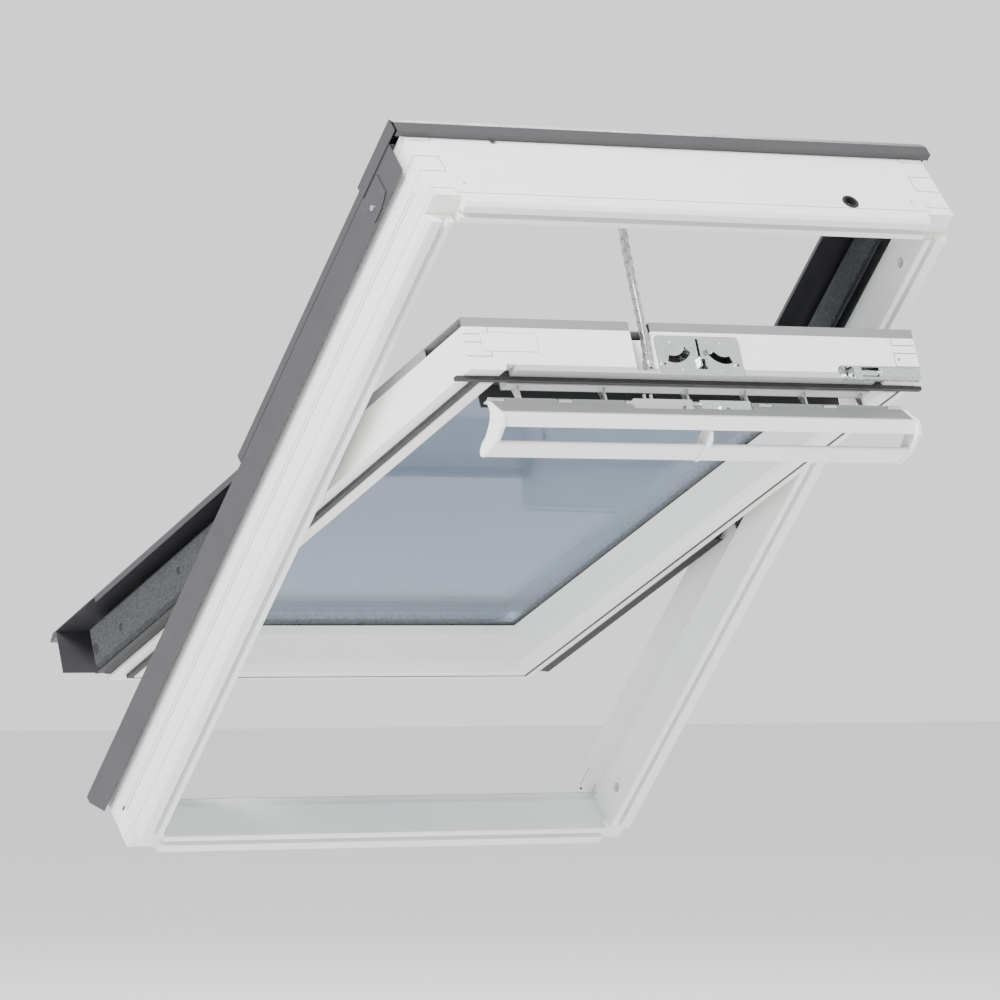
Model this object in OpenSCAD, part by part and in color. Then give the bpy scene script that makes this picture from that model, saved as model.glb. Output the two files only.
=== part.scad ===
// Centre-pivot roof window: a timber sash in a timber frame, shown in its roof slope and open.
// The window's own axes are x across (seen from the room), y up the slope and z into the room.
// The outer face of the roof is on the -z side.  in_roof() stands those axes up at the roof's pitch.

/* [Frame] */
// Width over the frame's timber
frame_w = 780; // [550:1:1140]
// Length over the frame's timber, up the slope
frame_l = 1178; // [900:1:1400]
// Pitch of the roof that carries the window, in degrees
roof_pitch = 45; // [15:1:75]
// Depth of the frame's timber
frame_depth = 131; // [125:1:140]
// Width of a jamb at the room side
jamb_w = 36; // [32:0.5:44]
// Width of a jamb beyond its rebate
jamb_thin = 20; // [16:0.5:24]
// Width of the head
head_w = 32; // [30:0.5:44]
// Width of the sill at the room side
sill_w = 34; // [30:0.5:44]
// Width of the sill beyond its rebate
sill_thin = 25; // [20:0.5:26]
// Depth of the sill's timber
sill_depth = 78; // [70:1:84]
// Depth at which the jambs are rebated
rebate_z = 60; // [56:1:64]
// Depth of the notched lip at the room side
lip_depth = 15; // [12:0.5:20]
// Width of the groove for the wall lining
lining_groove_w = 8; // [6:0.5:10]
// Depth of the groove for the wall lining
lining_groove_d = 10; // [6:0.5:12]
// Width of the rim inside the lining groove
lining_rim = 9; // [7:0.5:12]
// Chamfer on the frame's outer edge at the room side
edge_chamfer = 4.5; // [2:0.5:6]

/* [Sash] */
// Angle of the sash from closed, in degrees
open_angle = 23.4; // [5:0.1:30]
// Gap between a jamb and the sash's timber
side_gap = 15; // [13:0.5:18]
// Height of the sash's lower edge above the frame's lower edge, closed
sash_bottom = 33; // [30:0.5:40]
// Gap between the head and the sash's top edge, closed
head_gap = 44; // [40:0.5:60]
// Depth of the sash's room face below the frame's room face, closed
sash_recess = 58; // [56:0.5:62]
// Depth of the sash's timber
sash_depth = 58; // [56:0.5:62]
// Width of a stile's foot at the glass
stile_w = 65; // [60:1:80]
// Width of the bottom rail's foot at the glass
bottom_rail_w = 87; // [75:1:110]
// Width of the top rail's foot at the glass
top_rail_w = 100; // [95:1:120]
// Height of the sash's inner strip above its rim
strip_rise = 7; // [5:0.5:9]
// Depth of the pivots below the frame's room face
pivot_depth = 140; // [136:0.5:142]
// Turn from closed to the position for cleaning the glass, in degrees
clean_turn = 159.2; // [150:0.1:165]
// Turn from closed to the position where the bolt holds the sash ajar, in degrees
ajar_turn = 5.2; // [4:0.1:7]

/* [Glass] */
// Thickness of each pane
pane_t = 4; // [3:0.5:5]
// Width of the gap between the panes
pane_gap = 14; // [12:0.5:14]
// Gap between the panes' edges and the sash's rebate
pane_edge_gap = 2; // [1:0.5:3]

/* [Covers] */
// Thickness of the folded metal covers
sheet_t = 1.5; // [1:0.1:2]
// Distance that the covers stand off the frame's timber
cover_stand = 8.5; // [6:0.5:12]
// Depth of the outer plane of the upper hoods and the lower sash covers
outer_plane = 146; // [144.5:0.5:150]
// Depth of the head cover's outer plane
head_plane = 151; // [149:0.5:156]
// Width of a hood from the edge of the timber
hood_w = 73; // [60:1:80]
// Depth of the side strips' open edge
strip_edge_z = 83; // [80:1:100]
// Length of the side strips beyond the frame's lower edge
strip_tail = 25; // [15:1:35]
// Gap that the covers leave on each side of the pivot
pivot_clear = 11; // [10.5:0.5:16]

/* [Ventilation flap] */
// Distance of the flap's ends from the sash's faces
flap_inset = 25; // [19:0.5:89]
// Depth of the front plate of the flap, from its hinge
flap_plate = 38; // [30:0.5:42]
// Thickness of the flap's profile
flap_t = 2.5; // [2:0.1:3]
// Width of the flap's front band
flap_band = 15; // [12:0.5:18]
// Height of the grip bar
bar_h = 27; // [22:0.5:32]
// Thickness of the grip bar
bar_t = 7; // [5:0.5:8]
// Diameter of the flap's hinge rod
rod_d = 4; // [3:0.5:5]
// Angle that the flap closes from where it stands, in degrees
flap_close = 42; // [30:1:45]

/* [Lock and bolt] */
// Width of the lock case
lock_w = 126; // [110:1:140]
// Height of the lock case
lock_h = 53; // [50:0.5:54]
// Thickness of the lock case
lock_t = 3; // [2:0.5:4]
// Diameter of the bolt
bolt_d = 10; // [8:0.5:10]
// Travel of the bolt
bolt_travel = 26; // [24:0.5:28]
// Bore of the bushes that take the bolt
bush_bore = 15; // [14:0.5:16]
// Outer diameter of the bushes' flanges
bush_flange_d = 25; // [24:0.5:30]

/* [Chain drive] */
// Distance of the chain from the window's middle
chain_off = 72; // [60:1:90]
// Distance of the cable's hole from the frame's right side
cable_in = 153; // [100:1:220]
// Width of the chain's links
link_w = 16; // [12:0.5:18]
// Thickness of the chain
chain_t = 4; // [3:0.5:6]
// Number of links that hang free
link_count = 17; // [12:1:22]

/* [Hidden] */

$fn = 48;
cut = 1;            // how far a cutter runs past the face that it opens
fit = 0.05;         // radial clearance of a turning pin in its bore
soft_gap = 0.3;     // gap that a soft part keeps from what it meets
white = [0.93, 0.94, 0.92];
alu = [0.66, 0.67, 0.68];
lead = [0.33, 0.33, 0.35];
black = [0.10, 0.10, 0.11];
foam = [0.42, 0.43, 0.44];
steel = [0.75, 0.77, 0.79];
grey = [0.62, 0.63, 0.63];

// --- places in the window's own axes ---
seat_depth = 40;                          // depth of the origin on the sill's outer face
head_y = frame_l - head_w;                // the head's inner face
pivot_y = frame_l / 2;
pivot_z = -pivot_depth;
chain_x = frame_w / 2 - chain_off;
sash_x = jamb_w + side_gap;               // the sash's left face
sash_w = frame_w - 2 * sash_x;
sash_top = head_y - head_gap;
sash_face = -sash_recess;                 // the sash's rim, towards the room
sash_back = sash_face - sash_depth;       // the sash's timber, towards the weather
strip_z = sash_face + strip_rise;
rim_u = 19;                               // width of the sash's rim, from its outer face
groove_u = 27;                            // inner edge of the sash's gasket groove
strip_u = 45;                             // inner edge of the sash's strip
groove_d = 8;
glass_bed = 12;                           // the glass is bedded this far in from the sash's outer face
glass_z = sash_back + glass_bed;
seal_t = 0.8;
seal_w = 8;
pane_u = 46 + pane_edge_gap;              // inset of the panes' edges from the sash's faces
stop_t = 12;                              // thickness of the top rail's glass stop
finger_z = [-117, -88, -60, -28];         // depths of the frame's finger joints
sash_finger_z = [for (up = [10, 21, 40]) sash_back + up];
sash_finger_l = 36;
kerf_z = -20.4;                           // groove round the frame for the vapour barrier
kerf_w = 1.2;
kerf_d = 4;

module along_x(x0, x1) {
    translate([x0, 0, 0]) rotate([90, 0, 90]) linear_extrude(height = x1 - x0) children();
}
module along_y(y0, y1) {
    translate([0, y1, 0]) rotate([90, 0, 0]) linear_extrude(height = y1 - y0) children();
}
module cyl_x(x0, x1, y, z, r) {
    translate([x0, y, z]) rotate([0, 90, 0]) cylinder(h = x1 - x0, r = r);
}
module cyl_y(y0, y1, x, z, r) {
    translate([x, y0, z]) rotate([-90, 0, 0]) cylinder(h = y1 - y0, r = r);
}
module cyl_z(z0, z1, x, y, r) {
    translate([x, y, z0]) cylinder(h = z1 - z0, r = r);
}
module block(low, high) {
    translate(low) cube(high - low);
}
module mirror_x() {
    translate([frame_w, 0, 0]) mirror([1, 0, 0]) children();
}
module both_sides() {
    children();
    mirror_x() children();
}
module in_roof() {
    rotate([180 - roof_pitch, 0, 0]) translate([-frame_w / 2, 0, seat_depth]) children();
}
module in_sash() {
    in_roof() translate([0, pivot_y, pivot_z]) rotate([open_angle, 0, 0]) translate([0, -pivot_y, -pivot_z])
        children();
}

// --- frame timber ---
// Section across a member: u from its outer face, z to the room
module member_section(w, thin, depth, step_z) {
    rim = w - lining_rim;
    polygon([[0, -depth], [thin, -depth], [thin, -step_z], [w, -step_z], [w, -1], [w - 1, 0], [rim, 0],
        [rim, -lining_groove_d], [rim - lining_groove_w, -lining_groove_d], [rim - lining_groove_w, 0],
        [edge_chamfer, 0], [0, -edge_chamfer]]);
}
sill_step = sash_recess - 2;              // the sill's step lies just inside the sash's rim
notch_x = jamb_w + 5;                     // the head's and sill's lips stop short of the corners
bracket_hole_r = 2.5;
pilot_hole_r = 1.5;
pilot_hole_l = 12;
bracket_pitch = 23;                       // pilot holes lie this far each side of a bracket hole
bracket_z = -74;                          // bracket holes in the jambs
head_bracket_z = -38;                     // bracket holes in the head
head_bracket_x = 54;                      // from the frame's side
bracket_top = 78;                         // from the frame's top edge
bracket_bottom = 78;                      // from the frame's lower edge
bracket_hole_l = 18;
bracket_hole_short = 15;                  // depth of the lower and the right-hand bracket holes
bolt_axis_in = 6;                         // depth of the bolt's axis below the sash's top face
bolt_z = sash_face - 9.5;
bolt_y = sash_top - bolt_axis_in;
bolt_reach = norm([bolt_y - pivot_y, bolt_z - pivot_z]);
bolt_angle = atan2(bolt_z - pivot_z, bolt_y - pivot_y);
bush_l = 14;
bush_r = 9;
bush_flange_t = 1.5;
// Where the bolt's axis lies in the frame at a turn of the sash from closed
function bush_at(turn) = [
    pivot_y + bolt_reach * cos(bolt_angle + turn),
    pivot_z + bolt_reach * sin(bolt_angle + turn)];
bush_places = [bush_at(ajar_turn), bush_at(clean_turn)];

module jamb_body() {
    difference() {
        along_y(0, frame_l) member_section(jamb_w, jamb_thin, frame_depth, rebate_z);
        // kerf for the vapour barrier
        block([-cut, -cut, kerf_z - kerf_w], [kerf_d, frame_l + cut, kerf_z]);
        // the lip stops at the corners
        block([-cut, head_y, -lip_depth], [jamb_w + cut, frame_l + cut, cut]);
        block([-cut, -cut, -lip_depth], [jamb_w + cut, sill_w, cut]);
        // room for the fingers of the head and the sill
        block([-cut, head_y, finger_z[0]], [jamb_w + cut, frame_l + cut, finger_z[1]]);
        block([-cut, head_y, finger_z[2]], [jamb_w + cut, frame_l + cut, finger_z[3]]);
        block([-cut, -cut, finger_z[2]], [jamb_w + cut, sill_w, finger_z[3]]);
        // bracket holes in the outer face
        for (hole = [[bracket_bottom, bracket_hole_short], [frame_l - bracket_top, bracket_hole_l]]) {
            cyl_x(-cut, hole[1], hole[0], bracket_z, bracket_hole_r);
            for (side = [-1, 1]) {
                cyl_x(-cut, pilot_hole_l, hole[0] + side * bracket_pitch, bracket_z + side * 2,
                    pilot_hole_r);
            }
        }
        // seats of the bolt's bushes
        for (p = bush_places) cyl_x(jamb_w - bush_l, jamb_w + cut, p[0], p[1], bush_r);
    }
}
module frame_jamb_left() {
    color(white) in_roof() jamb_body();
}
module frame_jamb_right() {
    color(white) in_roof() mirror_x() jamb_body();
}
drive_back = 136;                         // the drive reaches this far left of the chain
drive_ahead = 160;                        // and this far right of it
actuator_x0 = chain_x - drive_back;
actuator_x1 = chain_x + drive_ahead;
actuator_floor = head_y + 4;
actuator_top = frame_l - 6;
actuator_z = -68;
mouth_half = 7;
mouth_z0 = -118;
mouth_z1 = -76;
cable_x = frame_w - cable_in;
cable_z = -33;
cable_r = 10;
cover_slot_x = 124;
module corner_cuts_head() {
    block([-cut, head_y - cut, -frame_depth - cut], [jamb_thin, frame_l + cut, finger_z[0]]);
    block([-cut, head_y - cut, finger_z[1]], [jamb_thin, frame_l + cut, finger_z[2]]);
    block([-cut, head_y - cut, finger_z[3]], [jamb_w, frame_l + cut, -lip_depth]);
    block([-cut, head_y - cut, -lip_depth - fit], [notch_x, frame_l + cut, cut]);
}
module frame_head() {
    color(white) in_roof() difference() {
        translate([0, frame_l, 0]) mirror([0, 1, 0]) along_x(0, frame_w)
            member_section(head_w, head_w, frame_depth, rebate_z);
        both_sides() corner_cuts_head();
        block([-cut, frame_l - kerf_d, kerf_z - kerf_w], [frame_w + cut, frame_l + cut, kerf_z]);
        // pocket for the chain drive, open to the weather side, and the chain's mouth
        block([actuator_x0 - 1, actuator_floor, -frame_depth - cut], [actuator_x1 + 1, frame_l - 4,
            actuator_z]);
        block([chain_x - mouth_half, head_y - cut, mouth_z0], [chain_x + mouth_half, actuator_floor
            + cut, mouth_z1]);
        // cable entry down to the drive's room
        cyl_y(head_y + head_w / 2, frame_l + cut, cable_x, cable_z, cable_r);
        // slot under the head cover
        block([cover_slot_x, frame_l - 5, -frame_depth - cut], [cover_slot_x + 10, frame_l + cut,
            -frame_depth + 14]);
        // bracket holes
        for (hole = [[head_bracket_x, bracket_hole_l], [frame_w - head_bracket_x, bracket_hole_short]]) {
            cyl_y(frame_l - hole[1], frame_l + cut, hole[0], head_bracket_z, bracket_hole_r);
            for (side = [-1, 1]) {
                cyl_y(frame_l - pilot_hole_l, frame_l + cut, hole[0] + side * bracket_pitch,
                    head_bracket_z + 5,
                    pilot_hole_r);
            }
        }
    }
}
module corner_cuts_sill() {
    block([-cut, -cut, -sill_depth - cut], [jamb_thin, sill_w + cut, finger_z[2]]);
    block([-cut, -cut, finger_z[3]], [jamb_w, sill_w + cut, -lip_depth]);
    block([-cut, -cut, -lip_depth - fit], [notch_x, sill_w + cut, cut]);
}
module frame_sill() {
    color(white) in_roof() difference() {
        along_x(0, frame_w) member_section(sill_w, sill_thin, sill_depth, sill_step);
        both_sides() corner_cuts_sill();
        block([-cut, -cut, kerf_z - kerf_w], [frame_w + cut, kerf_d, kerf_z]);
    }
}

// --- frame covers ---
cover_x = -cover_stand - sheet_t;         // outer face of the side covers
head_face = frame_l + cover_stand + sheet_t;
hood_start = pivot_y + pivot_clear + 5;
hood_end = frame_l - 20;
fold_z = 12;                              // depth of the head cover's sloping edge
fascia_z = 123;                           // depth of the head cover's lower edge
return_l = 110;                           // length of the head cover's side returns
turn_clear = 40;                          // the hoods' plates start this far above the pivot
foot_x = 8;                               // hoods' feet stand this far from the timber's edge
lip_drop = 5;
// Folded strip along a jamb's outer face, bedded on the end of its timber
module side_strip_body() {
    z0 = -frame_depth - sheet_t;
    tip = strip_tail;
    difference() {
        along_y(-tip, hood_end) polygon([[cover_x, z0], [4, z0], [4, -frame_depth],
            [cover_x + sheet_t, -frame_depth], [cover_x + sheet_t, -strip_edge_z], [cover_x,
                -strip_edge_z]]);
        // slanting lower end with a rounded tip
        translate([cover_x - cut, -tip, -frame_depth + 10]) rotate([-32, 0, 0])
            translate([0, -60, 0]) cube([cover_stand + sheet_t + 8, 60, 80]);
    }
}
module side_strip_left() {
    color(lead) in_roof() side_strip_body();
}
module side_strip_right() {
    color(lead) in_roof() mirror_x() side_strip_body();
}
// Upper hood: a plate in the outer plane with a foot on the jamb and lips at both edges
module hood_body() {
    z0 = -outer_plane;
    z1 = z0 + sheet_t;
    foot_z = -frame_depth;
    difference() {
        along_y(hood_start, hood_end) polygon([[cover_x, z0], [hood_w, z0], [hood_w, z0 + lip_drop],
            [hood_w - sheet_t, z0 + lip_drop], [hood_w - sheet_t, z1], [foot_x + sheet_t, z1],
            [foot_x + sheet_t, foot_z], [foot_x, foot_z], [foot_x, z1], [cover_x + sheet_t, z1],
            [cover_x + sheet_t, foot_z - sheet_t - 1], [cover_x, foot_z - sheet_t - 1]]);
        // clear of the sash's lower covers when the sash is turned round
        block([cover_out - 2, hood_start - cut, z0 - cut], [hood_w + cut, pivot_y + turn_clear, foot_z
            + cut]);
    }
}
module hood_left() {
    color(lead) in_roof() hood_body();
}
module hood_right() {
    color(lead) in_roof() mirror_x() hood_body();
}
// Head cover: a fascia with a sloping edge, an outer plate, a foot on the timber and side returns
module head_cover() {
    z0 = -head_plane;
    z1 = z0 + sheet_t;
    back = head_y - 34;
    zf = z0 + fold_z;
    color(lead) in_roof() {
        along_x(cover_x - sheet_t, frame_w - cover_x + sheet_t) polygon([[head_face, -fascia_z],
            [head_face, zf],
            [head_face - 6, z0], [back, z0], [back, z0 + lip_drop], [back + sheet_t, z0 + lip_drop],
            [back + sheet_t, z1], [head_face - 6 - sheet_t, z1], [head_face - sheet_t, zf],
            [head_face - sheet_t, -fascia_z - sheet_t], [frame_l, -fascia_z - sheet_t], [frame_l,
                -fascia_z]]);
        both_sides() {
            block([cover_x - sheet_t, frame_l - return_l, z0], [cover_x, head_face - 6, -frame_depth]);
            block([cover_x - sheet_t, frame_l - return_l, z0], [hood_w - 10, back + sheet_t, z1]);
        }
    }
}
// Clips that hold the side strips, each with a rounded ear
clip_y0 = frame_l - 112;
clip_y1 = frame_l - 66;
clip_x = cover_x - sheet_t;
module cover_clips() {
    color(lead) in_roof() both_sides() difference() {
        union() {
            block([clip_x, clip_y0, -126], [cover_x, clip_y1 - 20, -strip_edge_z - 3]);
            intersection() {
                block([clip_x, clip_y1 - 20, -126], [cover_x, clip_y1, -strip_edge_z - 3]);
                cyl_x(clip_x, cover_x, clip_y1 - 20, -126, 38);
            }
        }
        cyl_x(clip_x - cut, cover_x + cut, clip_y0 + 10, -103, 2.2);
    }
}
module cover_screws() {
    color(steel) in_roof() both_sides() {
        cyl_x(clip_x - 1.6, clip_x, clip_y0 + 10, -103, 4);
        cyl_x(clip_x, cover_x, clip_y0 + 10, -103, 2);
    }
}
// Drip cover under the sill, with a drip that stays behind the plane of the sill's outer face
sill_drip = 6.5;
module sill_cover() {
    z0 = -sill_depth - sheet_t;
    color(lead) in_roof() along_x(jamb_thin + 1, frame_w - jamb_thin - 1)
        polygon([[sill_thin - 1, -sill_depth], [0, -sill_depth], [0, z0 - sill_drip], [sheet_t,
            z0 - sill_drip],
            [sheet_t, z0], [sill_thin - 1, z0]]);
}

// --- weather parts between frame and sash ---
insul_start = 43;                         // insulation stays this far from the pivot
insul_in = 5;                             // running gap to the sash's face
upper_end = bush_at(0)[0] - 12;           // upper seals stop below the bolt
module frame_insulation() {
    color(foam) in_roof() both_sides()
        along_y(pivot_y + insul_start, upper_end) polygon([[jamb_thin, -122], [sash_x - insul_in - 6, -122],
            [sash_x - insul_in, -112], [sash_x - insul_in, -76], [sash_x - insul_in - 4, -72.3],
            [jamb_thin, -72.3]]);
}
module frame_gaskets() {
    color(black) in_roof() both_sides()
        along_y(pivot_y + insul_start, upper_end) polygon([[jamb_thin, -72], [jamb_w + 6, -72], [jamb_w
            + 12, -66],
            [jamb_w + 12, -64], [jamb_w + 5, -68], [jamb_w + 2, -rebate_z], [jamb_thin, -rebate_z]]);
}
module bolt_bushes() {
    color(white) in_roof() both_sides() for (p = bush_places) difference() {
        union() {
            cyl_x(jamb_w - bush_l, jamb_w, p[0], p[1], bush_r - fit);
            cyl_x(jamb_w, jamb_w + bush_flange_t, p[0], p[1], bush_flange_d / 2);
        }
        cyl_x(jamb_w - bush_l - cut, jamb_w + bush_flange_t + cut, p[0], p[1], bush_bore / 2);
    }
}

// --- pivot hinges ---
plate_t = 3;
plate_l = 80;
hub_r = 9;
pin_r = 4;
pin_x0 = jamb_thin - 1.5;
pin_x1 = sash_x + 1.5;
module hinge_plate(x0, x1, z_low, z_high, bore_r) {
    difference() {
        union() {
            block([x0, pivot_y - plate_l / 2, z_low], [x1, pivot_y + plate_l / 2, z_high]);
            block([x0, pivot_y - hub_r, pivot_z], [x1, pivot_y + hub_r, z_high]);
            cyl_x(x0, x1, pivot_y, pivot_z, hub_r);
        }
        cyl_x(x0 - cut, x1 + cut, pivot_y, pivot_z, bore_r);
        for (side = [-1, 1], z = [z_low + 12, z_high - 12]) {
            cyl_x(x0 - cut, x1 + cut, pivot_y + side * (plate_l / 2 - 12), z, 2.5);
        }
    }
}
module frame_hinge_plates() {
    color(steel) in_roof() both_sides() hinge_plate(jamb_thin, jamb_thin + plate_t, -126, -70, pin_r + 0.01);
}
module sash_hinge_plates() {
    color(steel) in_sash() both_sides()
        hinge_plate(sash_x - plate_t, sash_x, sash_back + 2, sash_face - 6, pin_r + fit);
}
module pivot_pins() {
    color(steel) in_roof() both_sides() {
        cyl_x(pin_x0, pin_x1, pivot_y, pivot_z, pin_r);
        cyl_x(jamb_thin + plate_t, sash_x - plate_t - 0.3, pivot_y, pivot_z, pin_r + 1.5);
    }
}

// --- chain drive ---
module chain_actuator() {
    color(grey) in_roof() difference() {
        block([actuator_x0, actuator_floor, -frame_depth + 2], [actuator_x1, actuator_top, actuator_z - 1]);
        block([chain_x - chain_t / 2 - 0.5, actuator_floor - cut, mouth_z0],
            [chain_x + chain_t / 2 + 0.5, actuator_top - 4, mouth_z1]);
    }
}
module cable_grommet() {
    color(black) in_roof() difference() {
        union() {
            cyl_y(frame_l - 8, frame_l, cable_x, cable_z, cable_r - fit);
            cyl_y(frame_l, frame_l + 1, cable_x, cable_z, cable_r + 1.5);
        }
        cyl_y(frame_l - 8 - cut, frame_l + 1 + cut, cable_x, cable_z, cable_r - 2.5);
    }
}
// The chain hangs on a curve from the drive's mouth to its end fitting, in the frame's y and z
fitting_in = 8;                           // the fitting's pin lies this far below the sash's top face
fitting_z = sash_face - 17;
function turned(p, a) = [
    pivot_y + (p[0] - pivot_y) * cos(a) - (p[1] - pivot_z) * sin(a),
    pivot_z + (p[0] - pivot_y) * sin(a) + (p[1] - pivot_z) * cos(a)];
chain_p0 = [actuator_floor + 3, -93];
chain_p3 = turned([sash_top - fitting_in, fitting_z], open_angle);
chain_p1 = chain_p0 + [-58, 27];
chain_p2 = chain_p3 + [40, -55];
function bezier(a, b, c, d, t) = a * pow(1 - t, 3) + b * 3 * t * pow(1 - t, 2)
    + c * 3 * t * t * (1 - t) + d * t * t * t;
chain_points = [for (i = [0:link_count]) bezier(chain_p0, chain_p1, chain_p2, chain_p3, i / link_count)];
link_hole_r = 2.3;
chain_waist = 0.72;                        // width of a link at its middle, as a share of its full width
function unit(v) = v / norm(v);
function side_of(v) = [-unit(v)[1], unit(v)[0]];
// Way of the chain at joint i
function chain_way(i) = chain_points[min(i + 1, link_count)] - chain_points[max(i - 1, 0)];
// Edge points of the chain on one side: full width at the joints, a waist between them
function chain_edge(side) = [for (i = [0:link_count - 1], share = [0, 0.25, 0.5, 0.75])
    let (wide = share == 0 ? 1 : (share == 0.5 ? chain_waist : 0.5 + chain_waist / 2))
    chain_points[i] * (1 - share) + chain_points[i + 1] * share
    + side * side_of(chain_way(i)) * wide * link_w / 2];
chain_end_way = chain_way(link_count);
chain_tip = [for (k = [0:8]) chain_p3
    + (side_of(chain_end_way) * cos(22.5 * k) + unit(chain_end_way) * sin(22.5 * k)) * link_w / 2];
module chain() {
    x0 = chain_x - chain_t / 2;
    x1 = chain_x + chain_t / 2;
    low = chain_edge(-1);
    color(steel) in_roof() difference() {
        along_x(x0, x1)
            polygon(concat(chain_edge(1), chain_tip, [for (i = [len(low) - 1:-1:0]) low[i]]));
        cyl_x(x0 - cut, x1 + cut, chain_p3[0], chain_p3[1], link_hole_r);
    }
}
cheek_t = 2;
fork_gap = soft_gap + chain_t / 2;
module chain_end_fitting() {
    z_top = sash_face - 4.5;
    z_base = z_top - 2.5;
    cheek_r = 6;
    color(steel) in_sash() {
        both = [chain_x - fork_gap - cheek_t, chain_x + fork_gap];
        for (x = both) {
            cyl_x(x, x + cheek_t, sash_top - fitting_in, fitting_z, cheek_r);
            block([x, sash_top - fitting_in - cheek_r, fitting_z],
                [x + cheek_t, sash_top - fitting_in + cheek_r, z_base]);
        }
        cyl_x(both[0], both[1] + cheek_t, sash_top - fitting_in, fitting_z, link_hole_r - 0.3);
        block([both[0], sash_top - fitting_in - cheek_r, z_base],
            [both[1] + cheek_t, sash_top - fitting_in + cheek_r, z_top]);
    }
}

// --- sash timber ---
// Full section of a sash member: u from its outer face, foot width at the glass
module sash_section(foot) {
    shoulder = strip_u + (foot - strip_u) * 0.35;
    polygon([[0, sash_back], [46, sash_back], [46, glass_z], [foot, glass_z], [foot - 4, glass_z + 12],
        [shoulder, strip_z - 8], [strip_u + 2, strip_z - 1.2], [strip_u - 2, strip_z], [0, strip_z]]);
}
// Ring of square section that runs round the sash between two insets
module sash_ring(u0, u1, z0, z1) {
    difference() {
        block([sash_x + u0, sash_bottom + u0, z0], [frame_w - sash_x - u0, sash_top - u0, z1]);
        block([sash_x + u1, sash_bottom + u1, z0 - cut], [frame_w - sash_x - u1, sash_top - u1, z1 + cut]);
    }
}
module sash_steps() {
    sash_ring(-cut, rim_u, sash_face, 0);
    sash_ring(rim_u, groove_u, sash_face - groove_d, 0);
}
// Zones of a sash corner that belong to the rail: its two fingers run through to the sash's face,
// and between them the stile's own two fingers end sash_finger_l in from that face
finger_levels = concat([sash_back - cut], sash_finger_z, [sash_face - groove_d]);
module rail_fingers(y0, y1) {
    for (k = [0:len(finger_levels) - 2]) {
        x0 = k % 2 == 0 ? sash_x + sash_finger_l : sash_x - cut;
        block([x0, y0, finger_levels[k]], [sash_x + stile_w + cut, y1, finger_levels[k + 1]]);
    }
}
top_zone = sash_top - top_rail_w;
bottom_zone = sash_bottom + bottom_rail_w;
module stile_body() {
    difference() {
        translate([sash_x, 0, 0]) along_y(sash_bottom, sash_top) sash_section(stile_w);
        sash_steps();
        rail_fingers(sash_top - strip_u, sash_top + cut);
        rail_fingers(sash_bottom - cut, sash_bottom + strip_u);
        // seat of the glass stop of the top rail, and of the bottom rail's slope
        block([sash_x + 46, top_zone, sash_back - cut], [sash_x + stile_w + cut, sash_top - 46, glass_z]);
        block([sash_x + 46, sash_bottom + 46, sash_back - cut], [sash_x + stile_w + cut, bottom_zone,
            glass_z]);
    }
}
module sash_stile_left() {
    color(white) in_sash() stile_body();
}
module sash_stile_right() {
    end_hole_in = 29;
    end_hole_z = sash_face - 28;
    color(white) in_sash() difference() {
        mirror_x() stile_body();
        bolt_recess();
        // small blind hole in the end of the stile's upper finger
        cyl_y(sash_top - 20, sash_top + cut, sash_x + sash_w - end_hole_in, end_hole_z, 2.5);
    }
}
// A rail fills what the stiles leave, fingers included
module between_stiles() {
    difference() {
        children();
        both_sides() difference() {
            translate([sash_x, 0, 0]) along_y(sash_bottom - cut, sash_top + cut) sash_section(stile_w);
            rail_fingers(sash_top - strip_u, sash_top + cut);
            rail_fingers(sash_bottom - cut, sash_bottom + strip_u);
        }
    }
}
module sash_bottom_rail() {
    color(white) in_sash() between_stiles() difference() {
        translate([0, sash_bottom, 0]) along_x(sash_x, sash_x + sash_w) sash_section(bottom_rail_w);
        sash_steps();
    }
}
slot_x0 = chain_x - 22;                   // slot that lets the chain's fitting leave the sash
slot_x1 = chain_x + 9;
slot_in = 28;
lock_x0 = slot_x1 + 1;
lock_z0 = sash_face - lock_h + 1;
lock_screw_x = [lock_x0 + 8, lock_x0 + lock_w - 8];
lock_screw_z = lock_z0 + 40;
lock_screw_r = 2.4;
bolt_x0 = sash_x + sash_w - 129;          // round end of the bolt's recess
bolt_track_h = 17;
bolt_recess_d = 12;
module bolt_recess() {
    block([bolt_x0 + bolt_track_h / 2, sash_top - bolt_recess_d, bolt_z - bolt_track_h / 2],
        [sash_x + sash_w + cut, sash_top + cut, strip_z + cut]);
    cyl_y(sash_top - bolt_recess_d, sash_top + cut, bolt_x0 + bolt_track_h / 2, bolt_z, bolt_track_h / 2);
}
module sash_top_rail() {
    color(white) in_sash() difference() {
        between_stiles() translate([0, sash_top, 0]) mirror([0, 1, 0]) along_x(sash_x, sash_x + sash_w)
            polygon([[0, sash_back], [46, sash_back], [46, glass_z], [top_rail_w, glass_z],
                [top_rail_w, glass_z + stop_t], [strip_u, glass_z + stop_t], [strip_u, sash_face - groove_d],
                [0, sash_face - groove_d]]);
        block([slot_x0, sash_top - slot_in, sash_back - cut], [slot_x1, sash_top + cut, 0]);
        bolt_recess();
        // pocket behind the lock case for its hooks and latch
        block([lock_x0 + 12, sash_top - 16, lock_z0 + 2], [lock_x0 + lock_w - 12, sash_top + cut,
            lock_z0 + 44]);
        for (x = lock_screw_x) cyl_y(sash_top - 13, sash_top + cut, x, lock_screw_z, lock_screw_r + fit);
    }
}

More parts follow.
